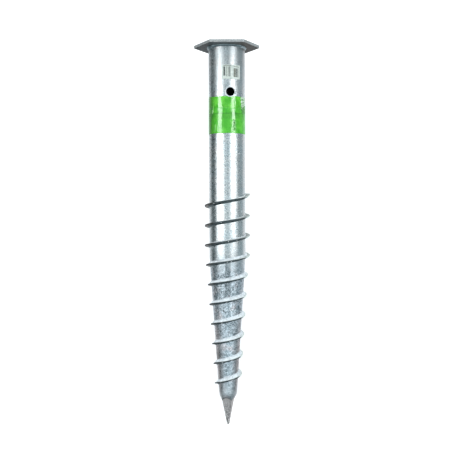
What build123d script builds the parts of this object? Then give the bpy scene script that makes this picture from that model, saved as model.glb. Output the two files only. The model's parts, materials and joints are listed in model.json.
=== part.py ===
from build123d import *
from math import atan2, ceil, cos, degrees, radians, sin, sqrt, tan
import os

# Helical pile, also called a ground screw: a hot-dip galvanised tube with a hexagonal head plate,
# a strip flight wound round its lower part, a swaged taper and a pressed four-sided point.
# Every piece is built upright, with the head plate's top face at height 0 and the front at -Y,
# and depths are measured down the pile's axis from that face. The last section lays the pile down
# as it comes to rest on a floor, with the head towards +Y and its front facing up.
# All lengths are in millimetres and all angles in degrees. Turns about the axis are measured from
# the front, positive towards the right as seen from the front.

# Overall lengths
overall_length = 800.0
taper_length = 288.0
shoulder_length = 22.0
point_length = 48.0

# Head plate, with a clearance hole over the welded nut
plate_across_flats = 120.0
plate_thickness = 6.0
plate_corner_radius = 2.5
plate_edge_break = 0.5
plate_hole_diameter = 26.0

# Nut under the head plate, M24 with its thread at core size
nut_across_flats = 36.0
nut_height = 21.5
nut_core_diameter = 20.75
nut_mouth_diameter = 25.0
nut_corner_chamfer_angle = 30.0

# Tube, swaged to a taper and closed at the point
tube_diameter = 76.1
tube_wall = 3.0
taper_blend_radius = 300.0
taper_end_diameter = 38.4
point_stock_diameter = 26.2
tip_stock_diameter = 6.4
tip_nose_length = 2.5

# Four flats pressed into the point
press_length = 58.0
press_top_side = 22.6
press_tip_side = 4.2
press_arch_radius = 12.0
press_ramp_angle = 55.0
press_turn = -16.0

# Cross hole through both walls, near the head
cross_hole_diameter = 18.0
cross_hole_depth = 102.5
cross_hole_turn = 11.0

# Strip flight, wound right-handed, rolled lower along the taper than on the straight tube
flight_top_depth = 316.0
flight_end_gap = 9.0
flight_pitch = 41.65
flight_thickness = 3.0
flight_height = 9.8
flight_taper_height = 7.7
flight_ease_length = 50.0
flight_start_turn = 95.0

# Weld beads
head_weld_leg = 4.0
nut_weld_leg = 3.5
flight_upper_weld_leg = 5.5
flight_lower_weld_leg = 3.5

# Marking tape wound round the tube under the cross hole
band_gap = 0.5
band_width = 75.0
band_thickness = 0.3

# Slack under the tape and the label
wrap_clearance = 0.1

# Paper label wrapped part of the way round the tube
label_top_depth = 47.5
label_height = 29.0
label_width = 40.0
label_thickness = 0.2
label_turn = 14.5

# Points along each long edge of the flight and its beads, for each turn of the strip
points_per_turn = 20

# Values that follow from the dimensions above
FRONT = -90.0
tube_radius = tube_diameter / 2
taper_top_depth = overall_length - point_length - shoulder_length - taper_length
taper_end_depth = taper_top_depth + taper_length
shoulder_end_depth = taper_end_depth + shoulder_length
taper_end_radius = taper_end_diameter / 2
taper_angle = degrees(atan2(tube_radius - taper_end_radius, taper_length))
blend_reach = taper_blend_radius * tan(radians(taper_angle / 2))
blend_top_depth = taper_top_depth - blend_reach
blend_end_depth = taper_top_depth + blend_reach * cos(radians(taper_angle))
cross_hole_radius = cross_hole_diameter / 2
band_top_depth = cross_hole_depth + cross_hole_radius + band_gap
flight_end_depth = taper_end_depth - flight_end_gap
flight_turns = (flight_end_depth - flight_top_depth) / flight_pitch


def at(radius, depth):
    """A point on the pile's meridian, to the right of the axis."""
    return Vector(radius, 0, -depth)


def shaft_radius(depth):
    """Outer radius of the tube and its swaged taper at a depth."""
    if depth <= blend_top_depth:
        return tube_radius
    if depth >= blend_end_depth:
        return tube_radius - (depth - taper_top_depth) * tan(radians(taper_angle))
    below_blend_top = depth - blend_top_depth
    return tube_radius - taper_blend_radius + sqrt(taper_blend_radius**2 - below_blend_top**2)


def turned_ring(points):
    """Solid of revolution about the pile's axis, from the corners of its section."""
    return revolve(Face(Wire.make_polygon(points)), Axis.Z)


def facing(turn):
    """Turn about the axis that brings what points along +X round to a turn from the front."""
    return Rot(Z=FRONT + turn)


# Head plate

def make_head_plate():
    hexagon = RegularPolygon(plate_across_flats / 2, 6, major_radius=False)
    blank = extrude(fillet(hexagon.vertices(), plate_corner_radius), -plate_thickness)
    rims = blank.faces().filter_by(Axis.Z).edges()
    blank = chamfer(rims, plate_edge_break)
    return blank - Cylinder(plate_hole_diameter / 2, 4 * plate_thickness)


# Nut under the plate and the weld that holds it

def make_head_nut():
    prism = extrude(RegularPolygon(nut_across_flats / 2, 6, major_radius=False), -nut_height)
    chamfer_rise = tan(radians(nut_corner_chamfer_angle))
    cone_radius = nut_across_flats / 2 + nut_height / chamfer_rise
    corner_cone = turned_ring([at(0, 0), at(cone_radius, 0), at(nut_across_flats / 2, nut_height),
                               at(0, nut_height)])
    core_radius = nut_core_diameter / 2
    mouth_radius = nut_mouth_diameter / 2
    mouth_depth = mouth_radius - core_radius
    bore = turned_ring([at(0, 0), at(mouth_radius, 0), at(core_radius, mouth_depth),
                        at(core_radius, nut_height - mouth_depth), at(mouth_radius, nut_height),
                        at(0, nut_height)])
    return Pos(Z=-plate_thickness) * ((prism & corner_cone) - bore)


def make_nut_weld():
    nut_outline = RegularPolygon(nut_across_flats / 2, 6, major_radius=False)
    bead_foot = RegularPolygon(nut_across_flats / 2 + nut_weld_leg, 6, major_radius=False)
    bead = Solid.make_loft([bead_foot.wire(), (Pos(Z=-nut_weld_leg) * nut_outline).wire()])
    return Pos(Z=-plate_thickness) * (bead - extrude(nut_outline, -nut_height))


# Shaft: tube, swaged taper, closed shoulder and pressed point

def make_point_blank():
    """The whole shaft as a round solid, before its hollow, hole and flats are made."""
    tube_top = at(tube_radius, plate_thickness)
    blend_top = at(tube_radius, blend_top_depth)
    blend_middle_depth = (blend_top_depth + blend_end_depth) / 2
    blend_middle = at(shaft_radius(blend_middle_depth), blend_middle_depth)
    blend_end = at(shaft_radius(blend_end_depth), blend_end_depth)
    taper_end = at(taper_end_radius, taper_end_depth)
    stock_top = at(point_stock_diameter / 2, shoulder_end_depth)
    stock_end = at(tip_stock_diameter / 2, overall_length - tip_nose_length)
    tip = at(0, overall_length)
    profile = [
        Line(at(0, plate_thickness), tube_top),
        Line(tube_top, blend_top),
        ThreePointArc(blend_top, blend_middle, blend_end),
        Line(blend_end, taper_end),
        Spline(taper_end, stock_top, tangents=[taper_end - blend_end, stock_end - stock_top]),
        Line(stock_top, stock_end),
        Spline(stock_end, tip, tangents=[stock_end - stock_top, Vector(-1, 0, 0)]),
        Line(tip, at(0, plate_thickness)),
    ]
    return revolve(Face(Wire([line.edge() for line in profile])), Axis.Z)


def make_hollow():
    """The inside of the tube, down to where the shoulder closes it."""
    inner = tube_radius - tube_wall
    return turned_ring([at(0, plate_thickness), at(inner, plate_thickness),
                        at(inner, taper_top_depth), at(taper_end_radius - tube_wall, taper_end_depth),
                        at(0, shoulder_end_depth)])


def make_press_tool():
    """The space that one flat of the point is pressed out of, with a sloped arch at its top."""
    lean = degrees(atan2((press_top_side - press_tip_side) / 2, press_length))
    flat_length = press_length / cos(radians(lean))
    tool_depth = taper_end_radius
    tool_width = 4 * press_arch_radius
    overrun = press_tip_side
    arch_top_radius = press_arch_radius + tool_depth * tan(radians(press_ramp_angle))
    straight = flat_length - press_arch_radius + overrun
    body = Box(tool_width, straight, tool_depth, align=(Align.CENTER, Align.MIN, Align.MIN))
    arch = Cone(press_arch_radius, arch_top_radius, tool_depth,
                align=(Align.CENTER, Align.CENTER, Align.MIN))
    tool = Pos(Y=-overrun) * body + Pos(Y=flat_length - press_arch_radius) * arch
    flat_foot = Plane(at(press_tip_side / 2, overall_length), x_dir=(0, 1, 0),
                      z_dir=(cos(radians(lean)), 0, -sin(radians(lean))))
    return flat_foot * tool


def make_shaft():
    shaft = make_point_blank() - make_hollow()
    press_tool = make_press_tool()
    for side in range(4):
        shaft -= facing(press_turn + 90 * side) * press_tool
    drill = Rot(Y=90) * Cylinder(cross_hole_radius, 2 * tube_diameter)
    return shaft - Pos(Z=-cross_hole_depth) * facing(cross_hole_turn) * drill


# Fillet weld between the head plate and the tube

def make_head_weld():
    foot = tube_radius + head_weld_leg
    return turned_ring([at(tube_radius, plate_thickness), at(foot, plate_thickness),
                        at(tube_radius, plate_thickness + head_weld_leg)])


# Strip flight and its two weld beads

def flight_radius(depth):
    """Outer radius of the flight where the middle of the strip is at a depth."""
    eased = min(max((depth - taper_top_depth) / flight_ease_length, 0), 1)
    share = eased**2 * (3 - 2 * eased)
    height = flight_height + (flight_taper_height - flight_height) * share
    return shaft_radius(depth) + height


def flight_section(depth):
    """Corners of the strip where its middle is at a depth, as (radius, depth) pairs."""
    upper = depth - flight_thickness / 2
    lower = depth + flight_thickness / 2
    outer = flight_radius(depth)
    return [(shaft_radius(upper), upper), (outer, upper), (outer, lower), (shaft_radius(lower), lower)]


def upper_weld_section(depth):
    foot = depth - flight_thickness / 2
    head = foot - flight_upper_weld_leg
    return [(shaft_radius(foot), foot), (shaft_radius(head), head),
            (shaft_radius(foot) + flight_upper_weld_leg, foot)]


def lower_weld_section(depth):
    foot = depth + flight_thickness / 2
    tail = foot + flight_lower_weld_leg
    return [(shaft_radius(foot), foot), (shaft_radius(foot) + flight_lower_weld_leg, foot),
            (shaft_radius(tail), tail)]


def wound_solid(section):
    """A section carried down the flight's path, with flat ends."""

    def corners(share):
        turn = radians(FRONT + flight_start_turn - 360 * flight_turns * share)
        depth = flight_top_depth + (flight_end_depth - flight_top_depth) * share
        return [Vector(radius * cos(turn), radius * sin(turn), -level)
                for radius, level in section(depth)]

    steps = ceil(flight_turns * points_per_turn)
    shares = [step / steps for step in range(steps + 1)]
    rings = [corners(share) for share in shares]
    nudge = 1e-5
    rails = []
    for corner in range(len(rings[0])):
        start_way = (corners(nudge)[corner] - corners(0)[corner]) / nudge
        end_way = (corners(1)[corner] - corners(1 - nudge)[corner]) / nudge
        path = [ring[corner] for ring in rings]
        rails.append(Edge.make_spline(path, tangents=[start_way, end_way], parameters=shares,
                                      scale=False))
    sides = [Face.make_surface_from_curves(rails[i - 1], rails[i]) for i in range(len(rails))]
    ends = [Face(Wire.make_polygon(ring)) for ring in (rings[0], rings[-1])]
    return Solid(Shell(sides + ends))


# Marking band and label

def make_marking_band():
    band_end = band_top_depth + band_width
    inner = tube_radius + wrap_clearance
    outer = inner + band_thickness
    return turned_ring([at(inner, band_top_depth), at(outer, band_top_depth),
                        at(outer, band_end), at(inner, band_end)])


def make_stock_label():
    label_end = label_top_depth + label_height
    inner = tube_radius + wrap_clearance
    outer = inner + label_thickness
    span = degrees(label_width / tube_radius)
    section = Face(Wire.make_polygon([at(inner, label_top_depth), at(outer, label_top_depth),
                                      at(outer, label_end), at(inner, label_end)]))
    return facing(label_turn - span / 2) * revolve(section, Axis.Z, span)


# Lying at rest: the head plate's lower flat and one turn of the flight touch the floor

def rest_lean():
    """Angle by which the axis falls from the head towards the point."""
    plate_rim_depth = plate_thickness - plate_edge_break
    back_share = (flight_start_turn - 180) % 360 / 360
    leans = []
    for turn in range(ceil(flight_turns - back_share)):
        middle = flight_top_depth + (turn + back_share) * flight_pitch
        drop = plate_across_flats / 2 - flight_radius(middle)
        leans.append(degrees(atan2(drop, middle + flight_thickness / 2 - plate_rim_depth)))
    return min(leans)


pieces = {
    "head_plate": make_head_plate(),
    "head_nut": make_head_nut(),
    "nut_weld": make_nut_weld(),
    "head_weld": make_head_weld(),
    "shaft": make_shaft(),
    "helix_flight": wound_solid(flight_section),
    "flight_weld_upper": wound_solid(upper_weld_section),
    "flight_weld_lower": wound_solid(lower_weld_section),
    "marking_band": make_marking_band(),
    "stock_label": make_stock_label(),
}

laid_down = {name: Rot(X=rest_lean() - 90) * piece for name, piece in pieces.items()}
outline_box = Compound(list(laid_down.values())).bounding_box()
floor_centre = Pos(-outline_box.center().X, -outline_box.center().Y, -outline_box.min.Z)

os.makedirs("parts", exist_ok=True)
for name, piece in laid_down.items():
    export_step(floor_centre * piece, f"parts/{name}.step")
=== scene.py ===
import json
import random
from math import asin, atan2, cos, degrees, exp, pi, radians, sin, sqrt, tan

import bpy
from mathutils import Matrix, Vector, noise


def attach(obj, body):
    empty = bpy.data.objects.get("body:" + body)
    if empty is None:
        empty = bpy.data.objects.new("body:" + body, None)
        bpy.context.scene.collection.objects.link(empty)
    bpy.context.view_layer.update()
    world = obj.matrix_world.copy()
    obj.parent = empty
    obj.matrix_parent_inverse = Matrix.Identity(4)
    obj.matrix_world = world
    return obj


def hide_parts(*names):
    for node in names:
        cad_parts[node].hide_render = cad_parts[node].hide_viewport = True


# A hot-dip galvanised helical pile lying on a pale floor, seen from above in soft studio light.
# Sizes of the pile are in millimetres and MM turns them into metres. Depths are measured down the
# pile's axis from the top of its head plate. Turns about the axis are in degrees from its upper
# side, positive towards the right as the camera sees it. Lights and the floor are in metres.
MM = 0.001

# Sizes of the pile, the same as its solids have
PILE_LENGTH = 800.0
TAPER_LENGTH = 288.0
SHOULDER_LENGTH = 22.0
POINT_LENGTH = 48.0
PLATE_THICKNESS = 6.0
TUBE_RADIUS = 38.05
TAPER_END_RADIUS = 19.2
TAPER_BLEND_RADIUS = 300.0
PRESSED_LENGTH = 58.0
PRESSED_TURN = -16.0
HOLE_DEPTH = 102.5
HOLE_RADIUS = 9.0
HOLE_TURN = 11.0
FLIGHT_TOP = 316.0
FLIGHT_END_GAP = 9.0
FLIGHT_PITCH = 41.65
FLIGHT_THICKNESS = 3.0
FLIGHT_HEIGHT = 9.8
FLIGHT_TAPER_HEIGHT = 7.7
FLIGHT_EASE = 50.0
FLIGHT_START_TURN = 95.0
HEAD_LEG = 4.0
LOWER_LEG = 3.5
TAPE_GAP = 0.5
TAPE_WIDTH = 75.0
LABEL_TOP = 47.5
LABEL_HEIGHT = 29.0
LABEL_WIDTH = 40.0
LABEL_TURN = 14.5
NUT_FLATS = 36.0
NUT_HEIGHT = 21.5
NUT_CORNER_ANGLE = 30.0
NUT_CORE_RADIUS = 10.375
NUT_MOUTH_RADIUS = 12.5

# Places that follow from these sizes
TAPER_END = PILE_LENGTH - POINT_LENGTH - SHOULDER_LENGTH
TAPER_TOP = TAPER_END - TAPER_LENGTH
PRESSED_TOP = PILE_LENGTH - PRESSED_LENGTH
FLIGHT_END = TAPER_END - FLIGHT_END_GAP
FLIGHT_TURNS = (FLIGHT_END - FLIGHT_TOP) / FLIGHT_PITCH
TAPE_TOP = HOLE_DEPTH + HOLE_RADIUS + TAPE_GAP
TAPE_END = TAPE_TOP + TAPE_WIDTH

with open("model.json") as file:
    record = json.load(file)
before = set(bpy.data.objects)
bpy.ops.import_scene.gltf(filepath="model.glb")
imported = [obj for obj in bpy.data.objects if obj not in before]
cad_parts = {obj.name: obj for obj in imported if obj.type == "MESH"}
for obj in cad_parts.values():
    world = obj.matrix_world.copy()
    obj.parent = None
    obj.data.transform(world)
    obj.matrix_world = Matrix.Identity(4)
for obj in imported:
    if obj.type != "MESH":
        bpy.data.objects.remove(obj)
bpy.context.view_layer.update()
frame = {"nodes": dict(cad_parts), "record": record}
mounts = {mount["name"]: mount for mount in frame["record"]["mounts"]}

# The pile's own axes, from the flat face of its head
HEADWARD = Vector(mounts["head_face"]["axis"]).normalized()
RIGHT = Vector((1, 0, 0))
UPWARD = RIGHT.cross(HEADWARD)
PLATE_TOP = Vector(mounts["head_face"]["pos_m"])
PLATE_TOP.x = 0
LEAN = atan2(HEADWARD.z, HEADWARD.y)


def place(turn, radius, depth):
    """The point at a turn about the axis, a radius and a depth."""
    around = radians(turn)
    outward = RIGHT * sin(around) + UPWARD * cos(around)
    return PLATE_TOP + outward * (radius * MM) - HEADWARD * (depth * MM)


def turned_apart(turn, middle):
    """Degrees between two turns, the shorter way round."""
    return (turn - middle + 180) % 360 - 180


def ease(value):
    """A value held between 0 and 1, eased at both ends."""
    value = min(max(value, 0.0), 1.0)
    return value * value * (3 - 2 * value)


def between(share, first, last):
    """The value at a share of the way from the first to the last."""
    return first + (last - first) * share


def wave(*where):
    """Smooth noise from about -1 to 1 at one to three numbers, of which a fixed one picks a pattern."""
    return noise.noise(Vector((*where, 0, 0)[:3]))


def shaft_radius(depth):
    """Outer radius of the tube and its taper at a depth."""
    slope = (TUBE_RADIUS - TAPER_END_RADIUS) / TAPER_LENGTH
    reach = TAPER_BLEND_RADIUS * slope / 2
    below = depth - (TAPER_TOP - reach)
    if below <= 0:
        return TUBE_RADIUS
    if depth > TAPER_TOP + reach:
        return TUBE_RADIUS - (depth - TAPER_TOP) * slope
    return TUBE_RADIUS - TAPER_BLEND_RADIUS + sqrt(TAPER_BLEND_RADIUS ** 2 - below ** 2)


# Materials

# Tints of the zinc and of what it mirrors
COOL = (0.96, 1.0, 1.03)
WARM = (1.0, 1.0, 0.98)
SLATE = (0.82, 1.01, 1.08)
BROWN = (1.07, 1.0, 0.92)
TEAL = (0.76, 1.0, 1.05)
LICHEN = (0.94, 1.0, 0.95)


def grey(level, tint=(1.0, 1.0, 1.0)):
    """A colour of one brightness, shifted by a tint."""
    return tuple(level * part for part in tint) + (1.0,)


class Nodes:
    """Adds nodes to a node tree and feeds their sockets."""

    def __init__(self, tree):
        self.tree = tree

    def feed(self, socket, value):
        if isinstance(value, bpy.types.NodeSocket):
            self.tree.links.new(value, socket)
        else:
            socket.default_value = value

    def add(self, kind, inputs=None, **settings):
        """A new node, with values or links for its inputs."""
        node = self.tree.nodes.new("ShaderNode" + kind)
        for name, value in settings.items():
            setattr(node, name, value)
        for name, value in (inputs or {}).items():
            self.feed(node.inputs[name], value)
        return node

    def math(self, operation, *values):
        return self.add("Math", dict(enumerate(values)), operation=operation).outputs[0]

    def total(self, first, *others):
        """Levels added up."""
        return self.math("ADD", first, self.total(*others)) if others else first

    def product(self, first, *others):
        """Levels multiplied."""
        return self.math("MULTIPLY", first, self.product(*others)) if others else first

    def rest(self, share):
        """What a share leaves of the whole."""
        return self.math("SUBTRACT", 1.0, share)

    def span(self, value, low, high, to_low=0.0, to_high=1.0):
        """A value's range stretched to another one, held at both ends."""
        node = self.add("MapRange", {"Value": value, "From Min": low, "From Max": high,
                                     "To Min": to_low, "To Max": to_high})
        return node.outputs["Result"]

    def within(self, value, low, high, soft):
        """1 between two values and 0 outside them, with soft borders."""
        rise = self.span(value, low - soft, low + soft)
        return self.product(rise, self.span(value, high - soft, high + soft, 1, 0))

    def blend(self, share, first, second):
        """Two levels mixed."""
        return self.total(self.product(self.rest(share), first), self.product(share, second))

    def ramp(self, value, stops):
        """Greys that follow a value. Each stop has its value, its level and maybe a tint."""
        low, high = stops[0][0], stops[-1][0]
        node = self.add("ValToRGB", {0: self.span(value, low, high)})
        elements = node.color_ramp.elements
        while len(elements) < len(stops):
            elements.new(1.0)
        for element, (where, *colour) in zip(elements, stops):
            element.position = (where - low) / (high - low)
            element.color = grey(*colour)
        return node.outputs["Color"]

    def mix(self, share, first, second):
        """Two colours mixed. The node keeps its colours at inputs 6 and 7 and at output 2."""
        return self.add("Mix", {0: share, 6: first, 7: second}, data_type="RGBA").outputs[2]

    def times(self, colour, level):
        """A colour made lighter or darker."""
        return self.add("VectorMath", {0: colour, 1: level}, operation="MULTIPLY").outputs[0]


# The arched top of a pressed flat falls by this times the square of the distance from its middle
PRESSED_ARCH = 0.046


class Shader(Nodes):
    """A metal, plastic or paper finish, laid out along the pile's own axes: side, up, depth and
    radius are in millimetres."""

    def __init__(self, name):
        self.material = bpy.data.materials.new(name)
        self.material.use_nodes = True
        super().__init__(self.material.node_tree)
        self.surface = self.tree.nodes["Principled BSDF"]
        origin = Matrix.Rotation(-LEAN, 3, "X") @ PLATE_TOP
        turned = self.add("Mapping", {"Vector": self.add("TexCoord").outputs["Object"],
                                      "Location": -origin, "Rotation": (-LEAN, 0, 0)})
        self.position = turned.outputs["Vector"]
        parts = self.add("SeparateXYZ", {"Vector": self.position})
        self.side = self.product(parts.outputs["X"], 1 / MM)
        self.up = self.product(parts.outputs["Z"], 1 / MM)
        self.depth = self.product(parts.outputs["Y"], -1 / MM)
        squares = (self.product(part, part) for part in (self.side, self.up))
        self.radius = self.math("SQRT", self.total(*squares))

    def noise(self, size, detail=3.0, roughness=0.55, along=1.0, distortion=0.0):
        """Noise from 0 to 1 in patches about size millimetres wide, and size / along long."""
        squeezed = self.add("Mapping", {"Vector": self.position, "Scale": (1, along, 1)}).outputs[0]
        node = self.add("TexNoise", {"Vector": squeezed, "Scale": 1 / (size * MM),
                                     "Detail": detail, "Roughness": roughness,
                                     "Distortion": distortion})
        return node.outputs["Fac"]

    def spread(self, noise, low, high, reach=0.2):
        """Noise whose usual range, reach to each side of a half, becomes two levels."""
        return self.span(noise, 0.5 - reach, 0.5 + reach, low, high)

    def down(self, *places):
        """A level that follows the depth."""
        return self.span(self.depth, *places)

    def across(self, *places):
        """A level that follows the place across."""
        return self.span(self.side, *places)

    def spangle(self, size):
        """A level for each crystal of the zinc."""
        cells = self.add("TexVoronoi", {"Vector": self.position, "Scale": 1 / (size * MM)})
        return self.add("SeparateColor", {"Color": cells.outputs["Color"]}).outputs[0]

    def from_pressed_arch(self):
        """How far down from the arched top of the point's nearest flat a place is."""
        around = radians(PRESSED_TURN)
        squares = []
        for along_side, along_up in ((cos(around), -sin(around)), (sin(around), cos(around))):
            across = self.total(self.product(self.side, along_side), self.product(self.up, along_up))
            squares.append(self.product(across, across))
        arch = self.product(self.math("MINIMUM", *squares), PRESSED_ARCH)
        return self.math("SUBTRACT", self.math("SUBTRACT", self.depth, arch), PRESSED_TOP)

    def bump(self, height, rise, below=None):
        """Relief whose full height is rise millimetres, over what is below it."""
        inputs = {"Height": height, "Strength": 1.0, "Distance": rise * MM}
        if below:
            inputs["Normal"] = below
        return self.add("Bump", inputs).outputs["Normal"]

    def finish(self, colour, rough, normal=None, **constants):
        inputs = {"Base Color": colour, "Roughness": rough, **constants}
        if normal:
            inputs["Normal"] = normal
        for name, value in inputs.items():
            self.feed(self.surface.inputs[name], value)
        return self.material

    def finish_grain(self, tint, level, grain, rough, metal, below=None):
        """A finish whose fine grain is in its relief and in its roughness, between two values."""
        return self.finish(self.times(tint, level), self.spread(grain, *rough),
                           self.bump(grain, 0.10, below), Metallic=metal)


# The tube's weld seam in front, between two places across, with a brighter line in it, and a painted
# shadow over it at the top of the taper
SEAM_ZONE = (-5.5, 2.6)
SEAM_LINE = -1.3
SEAM_FADE = (510, 620)
SHADOW_ACROSS = (-5.5, 6.5)
SHADOW_DEPTHS = (436, 528)


def tube_level(zinc, grain, streaks, worms):
    """The tube's brightness: specks, streaks and rings, darkened near the head by painted shade, mottled
    at the left.
    """
    rings = zinc.noise(7.0, 4.0, 0.65, along=3.0)
    level = zinc.total(zinc.spread(grain, 0.64, 0.86, 0.18), zinc.spread(streaks, -0.05, 0.05, 0.18),
                       zinc.spread(rings, -0.07, 0.03, 0.14))
    mottles = zinc.product(zinc.across(-28, -22, 1, 0), zinc.spread(worms, -0.24, 0.16, 0.08))
    # Painted shade: the tube is darker near the head
    return zinc.total(zinc.product(level, zinc.down(40, 110, 0.80, 1.0)), mottles)


def taper_level(zinc, worms, clouds, crystal):
    """The taper's brightness: mottles that get calmer towards the point."""
    calm = zinc.total(zinc.down(560, 640, 0, 0.25), zinc.down(TAPER_END - 24, TAPER_END, 0, 0.40))
    mottles = zinc.blend(calm, zinc.spread(worms, 0.20, 0.92, 0.1), 0.68)
    return zinc.total(mottles, zinc.span(crystal, 0, 1, -0.06, 0.06),
                      zinc.spread(clouds, -0.10, 0.10, 0.14))


def point_level(zinc, streaks, worms):
    """The point's brightness: streaks with painted shade, lighter at the left of its front and darker at
    the right, and mottles towards the tip, whose pale parts are partly painted highlights.
    """
    # Painted shade across the point's front: lighter at the left, darker at the right
    streaked_and_shaded = zinc.total(zinc.spread(streaks, 0.46, 0.62), zinc.across(-7, 5, 0.07, -0.09))
    # Towards the tip the pale mottles are partly painted highlights
    tipward = zinc.down(PRESSED_TOP + 8, PILE_LENGTH - 8, 0.15, 0.9)
    return zinc.blend(tipward, streaked_and_shaded, zinc.spread(worms, 0.10, 1.0, 0.06))


def seam_dots(zinc):
    """What the seam adds to the brightness: dots and a line, fainter down the taper."""
    seam = zinc.product(zinc.within(zinc.side, *SEAM_ZONE, 0.8), zinc.span(zinc.up, 0, 5))
    seam = zinc.product(seam, zinc.down(*SEAM_FADE, 1, 0.25))
    dots = zinc.span(zinc.noise(1.9, 3.0, 0.7, along=0.7), 0.44, 0.60, -0.14, 0.17)
    line = zinc.within(zinc.side, SEAM_LINE - 0.5, SEAM_LINE + 0.5, 0.3)
    return zinc.product(seam, zinc.total(dots, zinc.product(line, 0.25)))


def left_by_painted_shadow(zinc):
    """What the painted shadow over the seam leaves of the brightness."""
    shadow_mask = zinc.product(zinc.within(zinc.side, *SHADOW_ACROSS, 1.5),
                         zinc.within(zinc.depth, *SHADOW_DEPTHS, 12))
    shadow_mask = zinc.product(shadow_mask, zinc.span(zinc.up, 0, 5))
    return zinc.span(shadow_mask, 0, 1, 1, 0.58)


def taper_tint(zinc, worms, clouds):
    """Tint of the taper: blue in the mottles' dark parts, dull at both sides of its lower half."""
    tint = zinc.mix(zinc.span(worms, 0.40, 0.60), (0.80, 0.98, 1.08, 1), (0.93, 1.0, 1.07, 1))
    tint = zinc.mix(zinc.span(clouds, 0.52, 0.66), tint, (1.03, 1.0, 1.04, 1))
    sideways = zinc.math("ABSOLUTE", zinc.math("DIVIDE", zinc.side, zinc.radius))
    beside = zinc.product(zinc.span(sideways, 0.35, 0.80), zinc.down(540, 640))
    tint = zinc.mix(beside, tint, grey(0.82, (1.05, 0.99, 1.0)))
    return zinc.mix(zinc.down(TAPER_END - 30, TAPER_END, 0, 0.6), tint, (0.96, 1.0, 1.02, 1))


def make_shaft_zinc():
    """Zinc that is glossy and speckled on the tube, with a dotted seam in front, mottled on the worked
    taper and smooth on the pressed point. Painted shade darkens the tube near the head, the arched
    tops of the flats, the right of the point's front and the inside of the tube. A painted shadow lies
    over the seam at the top of the taper, and pale mottles near the tip are partly painted highlights."""
    zinc = Shader("zinc_shaft")
    worked = zinc.down(TAPER_TOP - 4, TAPER_TOP + 44)
    from_arch = zinc.from_pressed_arch()
    pressed = zinc.span(from_arch, -0.6, 0.6)
    grain = zinc.noise(2.4, 4.0, 0.7)
    streaks = zinc.noise(4.0, 4.0, 0.6, along=0.10)
    clouds = zinc.noise(26.0, 3.0, 0.55)
    worms = zinc.noise(4.2, 4.0, 0.7, distortion=1.2)
    crystal = zinc.spangle(4.5)

    level = zinc.blend(worked, tube_level(zinc, grain, streaks, worms),
                       taper_level(zinc, worms, clouds, crystal))
    level = zinc.blend(pressed, level, point_level(zinc, streaks, worms))
    # Painted shade: a dark line along the arched top of each flat, darkest at the left
    line = zinc.within(from_arch, -1.2, 0.5, 0.5)
    level = zinc.product(level, zinc.span(line, 0, 1, 1, zinc.across(0, 7, 0.35, 0.62)))
    level = zinc.total(level, seam_dots(zinc))
    # Painted shadow over the seam at the top of the taper
    level = zinc.product(level, left_by_painted_shadow(zinc))
    # Painted shade: the inside of the tube is nearly black
    inside = zinc.product(zinc.span(zinc.radius, TUBE_RADIUS - 0.6, TUBE_RADIUS - 0.3, 1, 0),
                          zinc.down(TAPER_TOP - 40, TAPER_TOP - 20, 1, 0))
    level = zinc.blend(inside, level, 0.02)

    tube_tint = zinc.mix(zinc.span(clouds, 0.38, 0.62), (0.92, 1.0, 1.03, 1),
                         (0.98, 1.0, 1.0, 1))
    worked_tint = zinc.mix(pressed, taper_tint(zinc, worms, clouds), (1.06, 0.985, 0.965, 1))
    colour = zinc.times(zinc.mix(worked, tube_tint, worked_tint), level)

    rough = zinc.total(zinc.spread(grain, 0.24, 0.33), zinc.span(crystal, 0, 1, -0.03, 0.04),
                       zinc.span(worked, 0, 1, 0, 0.13))
    rough = zinc.total(rough, zinc.down(50, 110, 0.09, 0))
    relief = zinc.bump(clouds, 0.30)
    relief = zinc.bump(zinc.product(worms, zinc.rest(pressed)), 0.22, relief)
    relief = zinc.bump(grain, 0.13, relief)
    return zinc.finish(colour, rough, relief, Metallic=1.0)


def make_plate_zinc():
    """The head plate: dull sheared edges with lengthwise marks, and an underside darkened by painted
    shade, a little less in its middle.
    """
    zinc = Shader("zinc_plate")
    under = zinc.down(PLATE_THICKNESS - 0.25, PLATE_THICKNESS - 0.05)
    layers = zinc.noise(1.6, 3.0, 0.6, along=3.0, distortion=0.4)
    clouds = zinc.noise(18.0, 3.0, 0.6)
    grain = zinc.noise(3.0, 4.0, 0.65)
    marks = zinc.noise(5.0, 4.0, 0.7, distortion=0.8)
    top_level = zinc.total(zinc.spread(layers, 0.30, 0.66, 0.12), zinc.spread(grain, -0.1, 0.1))
    # Painted shade: the underside's marks are kept dark, a little lighter in the middle
    under_marks_and_shade = zinc.total(zinc.span(marks, 0.36, 0.66, 0.03, 0.14),
                             zinc.product(zinc.within(zinc.side, -34, 34, 8), 0.18))
    under_tint = zinc.mix(zinc.across(-40, 40), grey(0.66, SLATE), grey(0.75, BROWN))
    tint = zinc.mix(zinc.span(clouds, 0.35, 0.65), grey(1, COOL), grey(1, WARM))
    colour = zinc.mix(under, zinc.times(tint, top_level), zinc.times(under_tint, under_marks_and_shade))
    rough = zinc.total(zinc.spread(grain, 0.40, 0.52), zinc.span(under, 0, 1, 0.0, 0.10))
    metal = zinc.span(under, 0, 1, 0.65, 1.0)
    return zinc.finish(colour, rough, zinc.bump(grain, 0.12, zinc.bump(marks, 0.20)), Metallic=metal)


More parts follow.
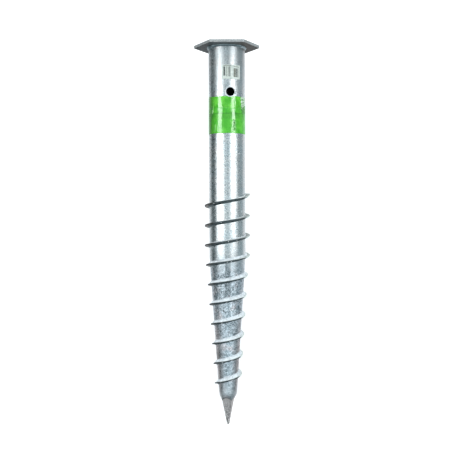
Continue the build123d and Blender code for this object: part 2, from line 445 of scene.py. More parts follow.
def make_edge_zinc():
    """The strip's rim: dark in front and at the left as painted shade, paler towards the right as painted
    light.
    """
    zinc = Shader("zinc_flight_edge")
    grain = zinc.noise(2.6, 4.0, 0.65)
    # Painted shade for the dark rim and painted light for the pale rim towards the right
    dark = zinc.spread(grain, 0.05, 0.13, 0.15)
    pale = zinc.spread(grain, 0.74, 0.90, 0.15)
    tint = zinc.mix(zinc.across(-46, -24), grey(1, BROWN), grey(1, SLATE))
    sideways = zinc.math("DIVIDE", zinc.side, zinc.radius)
    beside = zinc.span(sideways, 0.74, 0.88)
    tint = zinc.mix(beside, tint, grey(1, LICHEN))
    metal = zinc.span(sideways, 0.74, 0.88, 0.8, 0.1)
    return zinc.finish_grain(tint, zinc.blend(beside, dark, pale), grain, (0.42, 0.58), metal)


def make_face_zinc():
    """The strip's faces: dull and brown, dark at the left as painted shade, pale grey towards the right as
    painted light, most so on the taper."""
    zinc = Shader("zinc_flight_face")
    grain = zinc.noise(2.8, 4.0, 0.65)
    # Painted light makes the faces pale towards the right, most on the taper; painted shade keeps them
    # dark at the left
    right = zinc.across(-30, -8)
    worked = zinc.down(TAPER_TOP - 40, TAPER_TOP + 20)
    pale = zinc.blend(worked, zinc.spread(grain, 0.36, 0.52, 0.15), zinc.spread(grain, 0.62, 0.80, 0.15))
    level = zinc.blend(right, zinc.spread(grain, 0.07, 0.16, 0.15), pale)
    tint = zinc.mix(right, grey(1, BROWN), grey(1, LICHEN))
    metal = zinc.span(right, 0, 1, 0.4, 0.15)
    return zinc.finish_grain(tint, level, grain, (0.46, 0.58), metal)


def make_ramp_zinc():
    """The upper bead: pale and dull, greyed by painted shade close to the tube, most at the left where it
    runs out into the tube.
    """
    zinc = Shader("zinc_bead_upper")
    grain = zinc.noise(2.4, 4.0, 0.65)
    patches = zinc.noise(9.0, 3.0, 0.6, distortion=0.8)
    shaft = zinc.down(TAPER_TOP, TAPER_END, TUBE_RADIUS, TAPER_END_RADIUS)
    above = zinc.math("SUBTRACT", zinc.radius, shaft)
    # Painted shade where the bead meets the tube, strongest at the left
    painted_shade = zinc.product(zinc.span(above, 0.3, 3.2, 1, 0), zinc.across(-28, 6, 0.46, 0.06))
    level = zinc.total(zinc.spread(patches, 0.70, 0.94, 0.14), zinc.spread(grain, -0.12, 0.06))
    level = zinc.product(level, zinc.rest(painted_shade))
    relief = zinc.bump(patches, 0.20)
    return zinc.finish_grain((0.93, 0.985, 1.03), level, grain, (0.46, 0.58), 0.1, relief)


def make_plain_zinc(name, low, high, tint, rough, size=3.0, metal=1.0):
    """Zinc between two levels of brightness. Dull zinc is less metallic."""
    zinc = Shader(name)
    grain = zinc.noise(size, 4.0, 0.65)
    patches = zinc.noise(size * 4, 3.0, 0.6, distortion=0.8)
    level = zinc.total(zinc.spread(patches, low, high, 0.15),
                       zinc.spread(grain, (low - high) / 3, (high - low) / 3))
    return zinc.finish_grain(tint, level, grain, rough, metal, zinc.bump(patches, 0.20))


# Dark lines where the tape's turns end, and painted shade in a broader ring below the first turn's lower
# edge, each from one depth to another, how soft its borders are and what it leaves of the brightness
TAPE_EDGE_LINES_AND_SHADE = [(145.6, 147.8, 0.5, 0.66), (147.8, 158, 2.0, 0.82), (133.6, 134.6, 0.4, 0.80)]

# Pale lines painted as highlights along two creases, each at a place across, a depth and a length, and a
# crease painted dark as shade: its middle across, its depth, half its width and its length
TAPE_GLINT_LINES = [(-28.0, 137, 13), (-22.6, 176, 11)]
TAPE_SHADED_CREASE = (14.8, 171, 2.1, 20)

FLECK_GREEN = (0.22, 0.66, 0.16, 1)
GLINT_GREEN = (0.32, 0.80, 0.18, 1)
CREASE_SHADE_GREEN = (0.008, 0.05, 0.008, 1)


def make_tape_plastic(name, dark, light):
    """Glossy film, with dark lines and painted shade where its two turns end on each other, painted shade
    at its left side, pale lines painted as highlights along two creases and a crease painted dark as
    shade.
    """
    film = Shader(name)
    clouds = film.noise(14.0, 3.0, 0.6)
    spots = film.noise(3.2, 2.0, 0.5)
    creases = film.noise(5.0, 3.0, 0.6, along=0.25, distortion=0.8)
    knots = film.noise(3.4, 2.0, 0.5, along=0.6, distortion=1.5)
    uneven_depth = film.total(film.depth, film.spread(creases, -0.8, 0.8))
    # Painted shade: the film is darker at its left side
    shade = film.across(-33, -23, 0.38, 1.0)
    # Dark lines along the turns' edges, and painted shade below the first turn's lower edge
    for start, end, soft, left in TAPE_EDGE_LINES_AND_SHADE:
        ring = film.within(uneven_depth, start, end, soft)
        shade = film.product(shade, film.span(ring, 0, 1, 1.0, left))
    colour = film.times(film.mix(film.span(clouds, 0.35, 0.65), dark, light), shade)
    flecked = film.product(film.within(film.depth, 114, 138, 4.0), film.span(spots, 0.60, 0.70, 0, 0.4))
    colour = film.mix(flecked, colour, FLECK_GREEN)
    # Painted highlights: pale lines along two creases
    for side, depth, length in TAPE_GLINT_LINES:
        line = film.product(film.within(film.side, side - 0.5, side + 0.5, 0.6),
                            film.within(film.depth, depth - length / 2, depth + length / 2, 3.0))
        colour = film.mix(line, colour, GLINT_GREEN)
    # Painted shade: a crease turned away from the light, painted dark green, with its relief
    side, depth, reach, length = TAPE_SHADED_CREASE
    shaded_crease = film.product(film.within(film.side, side - reach, side + reach, 1.0),
                           film.within(film.depth, depth - length / 2, depth + length / 2, 2.0))
    shaded_crease = film.product(shaded_crease, film.within(knots, 0.46, 0.54, 0.03))
    colour = film.mix(shaded_crease, colour, CREASE_SHADE_GREEN)
    relief = film.bump(shaded_crease, 0.6, film.bump(creases, 0.07))
    return film.finish(colour, film.spread(clouds, 0.11, 0.17), relief, IOR=1.8)


def make_crazed_tape():
    """Film pulled until it whitened, with green cracks that spread towards its lower end."""
    film = Shader("tape_green_crazed")
    cracks = film.noise(2.2, 4.0, 0.7, distortion=0.8)
    pulled = film.total(cracks, film.down(126, 148, 0.0, -0.16))
    colour = film.mix(film.span(pulled, 0.44, 0.56), (0.06, 0.30, 0.03, 1), (0.80, 0.88, 0.78, 1))
    return film.finish(colour, film.spread(cracks, 0.18, 0.30), film.bump(cracks, 0.3), IOR=1.6)


def make_paper():
    paper = Shader("paper")
    fibre = paper.noise(0.9, 4.0, 0.7)
    clouds = paper.noise(7.0, 3.0, 0.6)
    colour = paper.mix(paper.span(clouds, 0.38, 0.62), (0.60, 0.65, 0.60, 1), (0.78, 0.83, 0.77, 1))
    return paper.finish(colour, paper.spread(fibre, 0.42, 0.55), paper.bump(fibre, 0.02))


def make_ink(name, dark, light):
    """Faded print, patchy where the paper rubbed."""
    ink = Shader(name)
    wear = ink.noise(2.2, 4.0, 0.7)
    return ink.finish(ink.mix(ink.span(wear, 0.40, 0.64), dark, light), ink.spread(wear, 0.40, 0.55))


SHAFT_ZINC = make_shaft_zinc()
PLATE_ZINC = make_plate_zinc()
NUT_ZINC = make_plain_zinc("zinc_nut", 0.42, 0.62, WARM, (0.30, 0.42), 2.0)
FACE_ZINC = make_face_zinc()
EDGE_ZINC = make_edge_zinc()
# The strip's underside: a dark copy of the zinc, its darkness painted shade
UNDER_ZINC = make_plain_zinc("zinc_flight_underside", 0.12, 0.24, BROWN, (0.40, 0.55))
UPPER_BEAD_ZINC = make_ramp_zinc()
# The lower bead: dark zinc, its darkness painted shade; the nut's weld shares it
LOWER_BEAD_ZINC = make_plain_zinc("zinc_bead_lower", 0.12, 0.26, SLATE, (0.36, 0.50), 2.4)
HEAD_BEAD_ZINC = make_plain_zinc("zinc_bead_head", 0.28, 0.50, SLATE, (0.36, 0.50), 2.4)
DRIP_ZINC = make_plain_zinc("zinc_drip", 0.66, 0.84, COOL, (0.24, 0.36), 2.0, 0.5)
TAPE = make_tape_plastic("tape_green", (0.060, 0.45, 0.010, 1), (0.150, 0.66, 0.044, 1))
TAPE_DEEP = make_tape_plastic("tape_green_double", (0.048, 0.43, 0.014, 1), (0.122, 0.62, 0.038, 1))
TAPE_WORN = make_crazed_tape()
PAPER = make_paper()
DARK_INK = make_ink("ink_dark", (0.06, 0.07, 0.07, 1), (0.18, 0.20, 0.185, 1))
FADED_INK = make_ink("ink_faded", (0.14, 0.15, 0.125, 1), (0.32, 0.34, 0.29, 1))


# The solids that stay as they are
for node, material in {"shaft": SHAFT_ZINC, "head_plate": PLATE_ZINC, "nut_weld": LOWER_BEAD_ZINC}.items():
    for material_slot in frame["nodes"][node].material_slots:
        material_slot.material = material


# Mesh building

def add_object(name, data):
    thing = bpy.data.objects.new(name, data)
    bpy.context.scene.collection.objects.link(thing)
    return thing


def add_piece(name, vertices, faces, materials, nodes=(), face_materials=None):
    """A smooth mesh that rides on the pile and may stand for CAD nodes."""
    mesh = bpy.data.meshes.new(name)
    mesh.from_pydata(vertices, [], faces)
    for material in materials:
        mesh.materials.append(material)
    if face_materials:
        mesh.polygons.foreach_set("material_index", face_materials)
    mesh.shade_smooth()
    mesh.validate()
    piece = add_object(name, mesh)
    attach(piece, "root")
    if nodes:
        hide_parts(*nodes)
    return piece


def loop_faces(rings, width, closed_ring=False):
    """Faces of a tube of rings of width points each, closed on itself or capped at its ends."""
    faces = []
    for ring in range(rings if closed_ring else rings - 1):
        near = ring * width
        far = (ring + 1) % rings * width
        for step in range(width):
            following = (step + 1) % width
            faces.append((near + step, near + following, far + following, far + step))
    if not closed_ring:
        faces.append(tuple(reversed(range(width))))
        faces.append(tuple(range((rings - 1) * width, rings * width)))
    return faces


def add_sheet(name, surface, columns, rows, thickness, materials, nodes=(), finish=None):
    """An open sheet, thick inwards from its points. surface(across, down) gives the turn, radius and
    depth at shares of its width and height, and finish(across, down) the index of the finish."""
    points = [place(*surface(column / columns, row / rows))
              for row in range(rows + 1) for column in range(columns + 1)]
    faces, finishes = [], []
    for row in range(rows):
        for column in range(columns):
            corner = row * (columns + 1) + column
            faces.append((corner, corner + columns + 1, corner + columns + 2, corner + 1))
            if finish:
                finishes.append(finish((column + 0.5) / columns, (row + 0.5) / rows))
    sheet = add_piece(name, points, faces, materials, nodes, finishes)
    body = sheet.modifiers.new("thickness", "SOLIDIFY")
    body.thickness = thickness * MM
    body.offset = -1


def add_ring(name, section, steps, material, nodes=()):
    """A piece once round the axis. section(turn) gives its corners' radii and depths."""
    points = []
    for step in range(steps):
        turn = 360 * step / steps
        corners = section(turn)
        points += [place(turn, *corner) for corner in corners]
    faces = loop_faces(steps, len(corners), closed_ring=True)
    return add_piece(name, points, faces, [material], nodes)


# The flight: a rolled strip wound down the tube and its taper, bent up at its start, with its foot
# sunk into the tube

START_BEND = 3.5
START_BEND_TURNS = 0.11
STRIP_CORNER = 0.6
STRIP_SINK = 0.5


def flight_drift(share):
    """How far the strip strays from a true helix along the axis."""
    turns = share * FLIGHT_TURNS
    bend = START_BEND * (1 - ease(turns / START_BEND_TURNS))
    return 0.35 * wave(turns * 2.3, 4.0) + 0.2 * wave(turns * 7.0, 9.0) - bend


def flight_height(depth):
    share = ease((depth - TAPER_TOP) / FLIGHT_EASE)
    return between(share, FLIGHT_HEIGHT, FLIGHT_TAPER_HEIGHT)


def add_wound(name, section, steps_per_turn, materials, node, sides=()):
    """A piece down the flight's path. section(share, depth) gives its corners' radii and depths,
    and sides the index of the finish that each side has."""
    steps = round(FLIGHT_TURNS * steps_per_turn)
    points = []
    for step in range(steps + 1):
        share = step / steps
        turn = FLIGHT_START_TURN - 360 * FLIGHT_TURNS * share
        corners = section(share, between(share, FLIGHT_TOP, FLIGHT_END))
        points += [place(turn, *corner) for corner in corners]
    # The two ends take the first finish
    add_piece(name, points, loop_faces(steps + 1, len(corners)), materials, [node],
              sides * steps + [0, 0] if sides else ())


def strip_section(share, depth):
    """The strip's outline from its foot in the tube's wall, out along its upper side and back."""
    turns = share * FLIGHT_TURNS
    middle = depth + flight_drift(share)
    foot = shaft_radius(depth) - STRIP_SINK
    rim = shaft_radius(depth) + flight_height(depth) + 0.2 * wave(turns * 5, 2.0)
    half = FLIGHT_THICKNESS / 2 * (1 + 0.08 * wave(turns * 4, 7.0))
    outline = [(foot, middle - half)]
    for side in (-1, 1):
        for step in range(4):
            angle = radians(30 * step if side > 0 else 90 - 30 * step)
            outline.append((rim - STRIP_CORNER + STRIP_CORNER * cos(angle),
                            middle + side * (half - STRIP_CORNER + STRIP_CORNER * sin(angle))))
    outline.append((foot, middle + half))
    return outline


# Finishes of the strip's upper side, its rim with the lower corner, its underside and its foot
STRIP_SIDES = [0] * 3 + [1] * 5 + [2] + [0]


# Weld beads with crescent ripples. Fullness and swell are shares of a bead's shorter leg, and the
# lag of a ripple's middle is a share of its length. The root is how deep a bead's edges are sunk.

RIPPLE_LENGTH = 3.6
RIPPLE_SWELL = 0.06
RIPPLE_LAG = 0.45
BOW_EACH_WAY = 0.7
BOW_STEPS = 7
BEAD_ROOT = 0.4
BEAD_FULLNESS = 0.1
RAMP_FULLNESS = -0.02


def bead_outline(inner, foot, along, outward, side, arc, fullness):
    """A fillet's section between a round wall and a flange, bowed by its fullness and rippled.
    side is -1 where it is above the flange and 1 below, arc is the length welded so far."""
    outline = []
    for step in range(BOW_STEPS + 1):
        across = step / BOW_STEPS
        crescent = 4 * across * (1 - across)
        ripple = 0.5 + 0.5 * cos(2 * pi * (arc / RIPPLE_LENGTH + RIPPLE_LAG * crescent))
        swell = (RIPPLE_SWELL * ripple + fullness) * crescent * min(along, outward)
        outline.append((inner + outward * across + swell * BOW_EACH_WAY,
                        foot + side * (along * (1 - across) + swell * BOW_EACH_WAY)))
    outline[0] = (inner - BEAD_ROOT, foot + side * along)
    outline[BOW_STEPS] = (inner + outward, foot - side * BEAD_ROOT)
    outline.append((inner - BEAD_ROOT, foot - side * BEAD_ROOT))
    return outline if side < 0 else outline[::-1]


def make_flight_bead(name, node, side, material, legs, fullness, steps_per_turn):
    """A bead along one side of the flight. legs(depth) gives its height and its reach."""
    welded = 0.0

    def section(share, depth):
        nonlocal welded
        foot = depth + flight_drift(share) + side * FLIGHT_THICKNESS / 2
        welded += 2 * pi * shaft_radius(depth) / steps_per_turn
        uneven = 1 + 0.14 * wave(share * FLIGHT_TURNS * 9, 3.0 + side)
        along, outward = legs(depth)
        return bead_outline(shaft_radius(foot), foot, along * uneven, outward * uneven, side, welded,
                            fullness)

    add_wound(name, section, steps_per_turn, [material], node)


# Towards the taper the thin upper bead grows into a broad ramp and the lower bead gets thinner

RAMP_START = 375
RAMP_LENGTH = 120
THIN_LEG = 1.1
RAMP_HEIGHT = 6.4
RAMP_REACH = 5.6
THIN_START = 400
THIN_LENGTH = 100
LOWER_TAPER_LEG = 2.0


def upper_legs(depth):
    share = ease((depth - RAMP_START) / RAMP_LENGTH)
    return between(share, THIN_LEG, RAMP_HEIGHT), between(share, THIN_LEG, RAMP_REACH)


def lower_legs(depth):
    leg = between(ease((depth - THIN_START) / THIN_LENGTH), LOWER_LEG, LOWER_TAPER_LEG)
    return leg, leg


# Head weld: a fillet round the tube under the plate, with a few lumps, each given by the turn of
# its middle, its half width in degrees and its height
HEAD_LUMPS = [(-64, 6, 3.0), (-46, 4, 2.2), (46, 6, 1.6), (118, 7, 1.4), (205, 10, 2.0)]


def head_bead_section(turn):
    lump = sum(height * exp(-turned_apart(turn, middle) ** 2 / (2 * half ** 2))
               for middle, half, height in HEAD_LUMPS)
    leg = HEAD_LEG * (0.9 + 0.12 * wave(turn / 14, 5.0)) + lump
    return bead_outline(TUBE_RADIUS, PLATE_THICKNESS, leg, leg, 1, radians(turn) * TUBE_RADIUS,
                        BEAD_FULLNESS)


# Zinc lip round both ends of the cross hole. Each corner of its section is given by how far it is
# from the hole's edge and how high above the tube. The zinc ran to the hole's lower left.

LIP_SECTION = [(0.15, -0.9), (0.15, 0.10), (0.45, 0.50), (1.0, 0.50), (1.7, 0.24), (2.5, -0.05),
               (1.3, -0.6)]
LIP_RUN_ANGLE = 140


def make_hole_lip(name, middle_turn):
    """A raised rim, higher where the zinc ran."""
    steps = 96
    points = []
    for step in range(steps):
        angle = 2 * pi * step / steps
        run = 0.45 * max(0, cos(angle - radians(LIP_RUN_ANGLE)))
        swell = 0.75 + run + 0.2 * wave(3 * cos(angle), 3 * sin(angle))
        for out, height in LIP_SECTION:
            reach = HOLE_RADIUS + out * (swell if out > 0 else 1)
            lift = height * (swell if height > 0 else 1)
            turn = middle_turn + degrees(asin(reach * cos(angle) / TUBE_RADIUS))
            points.append(place(turn, TUBE_RADIUS + lift, HOLE_DEPTH + reach * sin(angle)))
    faces = loop_faces(steps, len(LIP_SECTION), closed_ring=True)
    add_piece(name, points, faces, [DRIP_ZINC])


# Zinc drips and weld spatter, half sunk into what carries them

DRIP_SEED = 7
SPATTER_COUNT = 26
EDGE_DRIP_COUNT = 34
DROP_SINK = 0.25
EDGE_DRIP_HEIGHT = 0.7

# Drops seen in front: turn, depth, half width, half height and how high each one stands
PLACED_DROPS = [(-47, 11, 1.3, 1.1, 0.9), (-57, 22, 0.9, 1.4, 0.6), (-50, 423, 1.1, 1.0, 0.8),
                (-44, 424, 1.3, 0.9, 0.8), (-40, 422.5, 0.8, 0.8, 0.6), (-56, 426, 0.9, 1.2, 0.6),
                (-3, 80, 0.8, 1.6, 0.4), (8, 82, 0.7, 1.4, 0.4), (52, 350, 0.6, 3.0, 0.4)]


def drop(turn, radius, depth, wide, tall, high):
    """Points and faces of one rounded drop lying on a round surface."""
    corners, levels = 10, 4
    points = []
    for level in range(levels):
        lift = sin(pi / 2 * level / levels)
        spread = cos(pi / 2 * level / levels)
        for step in range(corners):
            angle = 2 * pi * step / corners
            points.append(place(turn + degrees(wide * spread * cos(angle) / radius),
                                radius + high * lift - DROP_SINK * (level == 0),
                                depth + tall * spread * sin(angle)))
    points.append(place(turn, radius + high, depth))
    # The topmost ring closes in a point
    faces = loop_faces(levels, corners)[:-1]
    last = (levels - 1) * corners
    faces += [(last + step, last + (step + 1) % corners, last + corners) for step in range(corners)]
    return points, faces


def make_drips():
    """All drops as one piece."""
    chance = random.Random(DRIP_SEED)
    # Spatter round the strip's start, and scattered on the tube and the taper
    spatter = []
    for _ in range(SPATTER_COUNT // 2):
        size = chance.uniform(0.5, 1.2)
        turn = FLIGHT_START_TURN + chance.uniform(-38, 16)
        spatter.append((turn, FLIGHT_TOP - chance.uniform(4, 22), size))
    for _ in range(SPATTER_COUNT):
        spatter.append((chance.uniform(0, 360), chance.uniform(200, 700), chance.uniform(0.5, 1.1)))
    drops = []
    for turn, depth, size in spatter:
        tall = size * chance.uniform(1.0, 1.8)
        drops.append((turn, shaft_radius(depth), depth, size, tall, size * 0.5))
    for turn, depth, wide, tall, high in PLACED_DROPS:
        drops.append((turn, shaft_radius(depth), depth, wide, tall, high))
    for _ in range(EDGE_DRIP_COUNT):
        share = chance.uniform(0.01, 0.99)
        turn = FLIGHT_START_TURN - 360 * FLIGHT_TURNS * share
        depth = between(share, FLIGHT_TOP, FLIGHT_END)
        rim = shaft_radius(depth) + flight_height(depth) - 0.5
        edge = depth + flight_drift(share) + FLIGHT_THICKNESS / 2 - 0.3
        size = chance.uniform(0.7, 1.1)
        drops.append((turn, rim, edge, size * 1.5, size, EDGE_DRIP_HEIGHT))
    points, faces = [], []
    for each in drops:
        drop_points, drop_faces = drop(*each)
        faces += [tuple(len(points) + index for index in face) for face in drop_faces]
        points += drop_points
    add_piece("zinc_drips", points, faces, [DRIP_ZINC])


# Marking tape: two overlapping turns with ragged edges and creases, and a crazed loose end. The
# edges of both turns are sunk into the tube.

FIRST_TURN_BOTTOM = 147.5
SECOND_TURN_TOP = 135.0
EDGE_RISE = 2.8
TAPE_FILM = 0.16
FIRST_TURN_LIFT = 0.10
SECOND_TURN_LIFT = FIRST_TURN_LIFT + TAPE_FILM
TAPE_SINK = 0.05

# Each crease has the turn and depth of its middle, its length, how far it leans, in millimetres
# across for each along, its half width and how high it stands
TAPE_CREASES = [(-51, 140, 34, 0.06, 0.9, 0.70), (-41, 176, 20, -0.06, 0.8, 0.90),
                (-60, 150, 70, 0.08, 1.6, -0.35), (60, 140, 50, 0.12, 1.8, 0.40),
                (140, 150, 50, -0.15, 2.0, 0.45), (-120, 155, 56, 0.20, 1.8, 0.45),
                (-160, 140, 44, -0.30, 1.5, 0.40)]


def first_turn_top(turn):
    """The first turn's upper edge, which rides up on the left of the cross hole."""
    behind = turned_apart(turn, 0)
    left = ease((-behind - 40) / 45) * ease((180 + behind) / 60)
    return TAPE_TOP - 0.2 - EDGE_RISE * left + 0.4 * wave(turn / 22, 1.0)


def first_turn_bottom(turn):
    return FIRST_TURN_BOTTOM + 0.8 * sin(radians(turn - 60)) + 0.3 * wave(turn / 15, 2.0)


def second_turn_top(turn):
    return SECOND_TURN_TOP + 1.2 * sin(radians(turn + 30)) + 0.3 * wave(turn / 12, 6.0)


def second_turn_bottom(turn):
    return TAPE_END + 0.8 + 0.6 * wave(turn / 30, 8.0)


def crease_height(turn, depth, crease):
    """Height of a crease at a place on the tape."""
    middle_turn, middle_depth, length, slant, width, rise = crease
    along = depth - middle_depth
    across = turned_apart(turn, middle_turn) * pi / 180 * TUBE_RADIUS - slant * along
    fade = 1 - ease(abs(along) / (length / 2))
    return rise * fade * exp(-(across / width) ** 2)


def make_tape_turn(name, material, top_edge, bottom_edge, lift, nodes=()):
    """One turn of the tape between two edges, wrinkled and creased away from them."""
    rows = 48

    def section(turn):
        top, bottom = top_edge(turn), bottom_edge(turn)
        corners = [(TUBE_RADIUS - TAPE_SINK, top)]
        for row in range(rows + 1):
            depth = between(row / rows, top, bottom)
            from_edge = ease(min(row, rows - row) / 3)
            wrinkle = 0.16 * wave(turn / 9, depth / 30, 3.0) + 0.09 * wave(turn / 3, depth / 8, 5.0)
            ridge = sum(crease_height(turn, depth, crease) for crease in TAPE_CREASES)
            corners.append((TUBE_RADIUS + lift + TAPE_FILM + from_edge * (wrinkle + ridge), depth))
        corners.append((TUBE_RADIUS - TAPE_SINK, bottom))
        return corners

    add_ring(name, section, 600, material, nodes)


FLAP_TURN = 63.0
FLAP_HALF_SPAN = 15.0
FLAP_LENGTH = 34.0
FLAP_LIFT = 0.55


def flap_surface(across, down):
    """The tape's loose end, ragged and puckered where it was pulled."""
    ragged = (1 - across) * (3.5 * wave(down * 6, 9.0) + 5 * down ** 2)
    turn = FLAP_TURN + FLAP_HALF_SPAN * (2 * across - 1) + ragged
    depth = TAPE_TOP + FLAP_LENGTH * down + 1.5 * wave(across * 3, 4.0)
    from_edge = ease(min(across, 1 - across, down, 1 - down) * 7)
    pucker = 0.9 + 0.7 * wave(across * 4, down * 5, 2.0) + 0.4 * wave(across * 9, down * 11, 6.0)
    return turn, TUBE_RADIUS + FLAP_LIFT + from_edge * pucker, depth


# Paper label with plain bars, whose upper right corner curls up over a share of each side

LABEL_PAPER = 0.12
LABEL_LIFT = 0.18
LABEL_CURL = 0.8
CURL_ACROSS = 0.14
CURL_DOWN = 0.3

# Each bar has its left and right edge and its top and bottom as shares of the label, and whether
# it is faded
LABEL_BARS = [(0.08, 0.18, 0.13, 0.78, False), (0.245, 0.28, 0.12, 0.84, True),
              (0.335, 0.365, 0.12, 0.84, True), (0.39, 0.44, 0.12, 0.84, False),
              (0.62, 0.75, 0.22, 0.86, True), (0.77, 0.83, 0.22, 0.86, False),
              (0.86, 0.90, 0.22, 0.86, True), (0.08, 0.48, 0.05, 0.075, True),
              (0.62, 0.93, 0.10, 0.14, True)]


def label_ink(across, down):
    """Index of the finish at a place on the label: paper, dark ink or faded ink."""
    for left, right, top, bottom, faded in LABEL_BARS:
        if left < across < right and top < down < bottom:
            return 2 if faded else 1
    return 0


def label_surface(across, down):
    """The label on the tube, a little uneven and curled up at its corner."""
    turn = LABEL_TURN + degrees(LABEL_WIDTH / TUBE_RADIUS) / 2 * (2 * across - 1)
    at_corner = ease((across - (1 - CURL_ACROSS)) / CURL_ACROSS)
    curl = LABEL_CURL * at_corner * ease((CURL_DOWN - down) / CURL_DOWN)
    ripple = 0.05 * wave(turn / 6, down * 4, 2.0)
    return turn, TUBE_RADIUS + LABEL_LIFT + ripple + curl, LABEL_TOP + LABEL_HEIGHT * down


# Nut under the head plate, with its thread cut. Its solid has the thread at core size only.

THREAD_RADIUS = 12.0
THREAD_PITCH = 3.0
NUT_OUTER_LEVELS = [0, 4, 8, 12, 16, 18, 19.5, 20.5, 21, NUT_HEIGHT]


def nut_outer_radius(turn, level):
    """The hexagon's radius at a turn, cut back by the corner chamfer at the lower end."""
    from_flat = (turn + 30) % 60 - 30
    hexagon = NUT_FLATS / 2 / cos(radians(from_flat))
    cone = NUT_FLATS / 2 + (NUT_HEIGHT - level) / tan(radians(NUT_CORNER_ANGLE))
    return min(hexagon, cone)


def nut_bore_radius(turn, level):
    """The thread's groove, opening into a mouth at each end."""
    groove = abs(((level / THREAD_PITCH - turn / 360) % 1) * 2 - 1)
    cut = between(min(max(groove * 1.25 - 0.12, 0), 1), NUT_CORE_RADIUS, THREAD_RADIUS)
    from_end = min(level, NUT_HEIGHT - level)
    return max(cut, NUT_MOUTH_RADIUS - from_end)


def nut_section(turn):
    """The nut's outline at a turn: down its outside and back up its bore."""
    bore_steps = round(NUT_HEIGHT / THREAD_PITCH * 12)
    corners = [(nut_outer_radius(turn, level), PLATE_THICKNESS + level) for level in NUT_OUTER_LEVELS]
    for step in range(bore_steps, -1, -1):
        level = NUT_HEIGHT * step / bore_steps
        corners.append((nut_bore_radius(turn, level), PLATE_THICKNESS + level))
    return corners


add_wound("flight_strip", strip_section, 120, [FACE_ZINC, EDGE_ZINC, UNDER_ZINC],
          "helix_flight", STRIP_SIDES)
make_flight_bead("flight_bead_upper", "flight_weld_upper", -1, UPPER_BEAD_ZINC, upper_legs,
                 RAMP_FULLNESS, 360)
make_flight_bead("flight_bead_lower", "flight_weld_lower", 1, LOWER_BEAD_ZINC, lower_legs,
                 BEAD_FULLNESS, 240)
add_ring("head_bead", head_bead_section, 480, HEAD_BEAD_ZINC, ["head_weld"])
make_hole_lip("hole_lip_front", HOLE_TURN)
make_hole_lip("hole_lip_back", HOLE_TURN + 180)
make_drips()
make_tape_turn("tape_first_turn", TAPE, first_turn_top, first_turn_bottom, FIRST_TURN_LIFT,
               ["marking_band"])
make_tape_turn("tape_second_turn", TAPE_DEEP, second_turn_top, second_turn_bottom, SECOND_TURN_LIFT)
add_sheet("tape_end", flap_surface, 28, 48, TAPE_FILM, [TAPE_WORN])
add_sheet("paper_label", label_surface, 120, 48, LABEL_PAPER, [PAPER, DARK_INK, FADED_INK],
          ["stock_label"], label_ink)
nut = add_ring("threaded_nut", nut_section, 144, NUT_ZINC, ["head_nut"])
nut.data.set_sharp_from_angle(angle=radians(25))


# Floor: pale to look at. Reflections in the steel see it bright beside the pile and dark further
# out, as a table with a black cloth on either side would be. Places are in metres to the right.

FLOOR_REACH = 6.0
FLOOR_GLOW = 0.47
MIRRORED_FLOOR = [(-0.60, 0.12, TEAL), (-0.22, 0.075, TEAL), (-0.16, 0.24, TEAL), (-0.115, 0.65, COOL),
                  (-0.06, 0.95, COOL), (0.09, 0.95, COOL), (0.135, 0.75, COOL), (0.20, 0.42, SLATE),
                  (0.33, 0.32, SLATE), (0.60, 0.38, SLATE), (1.0, 0.42, SLATE)]


def make_floor():
    corners = [(x * FLOOR_REACH, y * FLOOR_REACH, 0) for x, y in ((-1, -1), (1, -1), (1, 1), (-1, 1))]
    mesh = bpy.data.meshes.new("floor")
    mesh.from_pydata(corners, [], [(0, 1, 2, 3)])
    material = bpy.data.materials.new("floor_paper")
    material.use_nodes = True
    nodes = Nodes(material.node_tree)
    paper = nodes.tree.nodes["Principled BSDF"]
    for name, value in {"Base Color": grey(0.92), "Roughness": 0.9, "Specular IOR Level": 0.1,
                        "Emission Color": grey(1.0), "Emission Strength": FLOOR_GLOW}.items():
        paper.inputs[name].default_value = value
    position = nodes.add("SeparateXYZ", {0: nodes.add("TexCoord").outputs["Object"]})
    glow = nodes.add("Emission", {"Color": nodes.ramp(position.outputs["X"], MIRRORED_FLOOR)})
    mirrored = nodes.add("LightPath").outputs["Is Glossy Ray"]
    either = nodes.add("MixShader", {0: mirrored, 1: paper.outputs[0], 2: glow.outputs[0]})
    nodes.feed(nodes.tree.nodes["Material Output"].inputs["Surface"], either.outputs[0])
    mesh.materials.append(material)
    ground = add_object("floor", mesh)


# Light: two long strip boxes beside the camera, each brighter over the tape and dim towards the
# head, a soft pair over the point, and a wide box beyond the head that lights the upper sides of
# the flight

AXIS_HEIGHT = 0.05
STRIP_DISTANCE = 2.0

# Each strip's angle from straight up, its width, its start and end along the pile, its brightness
STRIPS = [("strip_left", -45.5, 1.80, -0.28, 0.36, 2.3),
          ("strip_right", 42.2, 1.44, -0.04, 0.36, 2.35),
          ("strip_left_tape", -45, 0.86, 0.36, 0.62, 7.4),
          ("strip_right_tape", 39.5, 0.76, 0.36, 0.64, 7.4),
          ("strip_left_head", -44.5, 1.16, 0.62, 2.0, 0.9),
          ("strip_right_head", 41.5, 0.74, 0.64, 2.0, 1.1),
          ("strip_left_point", -30, 1.5, -1.60, -0.30, 0.5),
          ("strip_right_point", 26, 1.5, -1.60, -0.20, 0.6)]


def add_softbox(name, where, towards, width, length, radiance):
    """A rectangular light that faces a point. length runs along the pile, or up where the box
    stands beyond its end."""
    lamp = bpy.data.lights.new(name, "AREA")
    lamp.shape = "RECTANGLE"
    lamp.size, lamp.size_y = width, length
    lamp.energy = radiance * pi * width * length
    box = add_object(name, lamp)
    back = (Vector(where) - Vector(towards)).normalized()
    upright = Vector((0, 1, 0)) if abs(back.y) < 0.7 else Vector((0, 0, 1))
    side = upright.cross(back).normalized()
    box.rotation_euler = Matrix((side, back.cross(side), back)).transposed().to_euler()
    box.location = where
    box.visible_camera = False


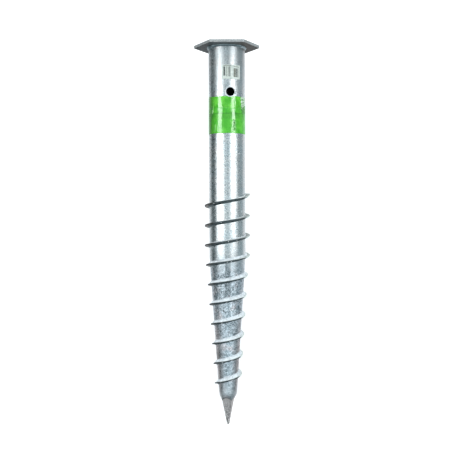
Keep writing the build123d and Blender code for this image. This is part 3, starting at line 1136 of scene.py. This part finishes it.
def make_lights():
    for name, azimuth, width, start, end, radiance in STRIPS:
        outward = Vector((sin(radians(azimuth)), 0, cos(radians(azimuth)))) * STRIP_DISTANCE
        middle = Vector((0, (start + end) / 2, AXIS_HEIGHT))
        add_softbox(name, middle + outward, middle, width, end - start, radiance)
    add_softbox("headward_box", (0, 2.6, 0.9), (0, 0, AXIS_HEIGHT), 3.4, 1.6, 1.8)


# Colours of the surroundings by direction: from -1 at the left to 1 at the right, and from -1 past
# the point to 1 beyond the head
WORLD_ACROSS = [(-1.0, 0.05, TEAL), (-0.99, 0.16, SLATE), (-0.95, 0.19, SLATE), (-0.50, 0.28, SLATE),
                (0.0, 0.50, SLATE), (0.93, 0.27, SLATE), (0.97, 0.25, SLATE), (1.0, 0.38, SLATE)]
WORLD_ALONG = [(-1.0, 0.10), (-0.75, 0.20), (-0.50, 0.75), (-0.30, 1.0), (-0.10, 0.58), (0.0, 0.50),
               (0.5, 0.60), (1.0, 1.0)]
WORLD_STRENGTH = 2.0
SEEN_BACKDROP = grey(0.48)


def make_world():
    """Studio surroundings: brighter over the pile and beyond its head, darker past its point."""
    world = bpy.data.worlds.new("studio")
    world.use_nodes = True
    nodes = Nodes(world.node_tree)
    way = nodes.add("SeparateXYZ", {0: nodes.add("TexCoord").outputs["Generated"]})
    across = nodes.ramp(way.outputs["X"], WORLD_ACROSS)
    surroundings = nodes.times(across, nodes.ramp(way.outputs["Y"], WORLD_ALONG))
    seen = nodes.add("LightPath").outputs["Is Camera Ray"]
    background = nodes.tree.nodes["Background"]
    nodes.feed(background.inputs["Color"], nodes.mix(seen, surroundings, SEEN_BACKDROP))
    background.inputs["Strength"].default_value = WORLD_STRENGTH
    bpy.context.scene.world = world


# Camera, fitted to the photograph's outline of the pile: how far it stands to the right of the
# axis, down it and above it, and its tilt and roll

CAMERA_LENS = 59.4
CAMERA_SIDE = -3.0
CAMERA_DEPTH = 354.6
CAMERA_DISTANCE = 1575.8
CAMERA_TILT = -0.915
CAMERA_ROLL = -0.244


def make_camera():
    lens = bpy.data.cameras.new("camera")
    lens.lens = CAMERA_LENS
    lens.clip_start = 0.01
    camera = add_object("camera", lens)
    where = (PLATE_TOP + RIGHT * (CAMERA_SIDE * MM) - HEADWARD * (CAMERA_DEPTH * MM)
             + UPWARD * (CAMERA_DISTANCE * MM))
    facing = Matrix((RIGHT, HEADWARD, UPWARD)).transposed().to_4x4()
    tilt = Matrix.Rotation(radians(CAMERA_TILT), 4, "X")
    roll = Matrix.Rotation(radians(CAMERA_ROLL), 4, "Z")
    camera.matrix_world = Matrix.Translation(where) @ facing @ tilt @ roll
    bpy.context.scene.camera = camera


make_floor()
make_lights()
make_world()
make_camera()
bpy.context.scene.view_settings.view_transform = "Standard"
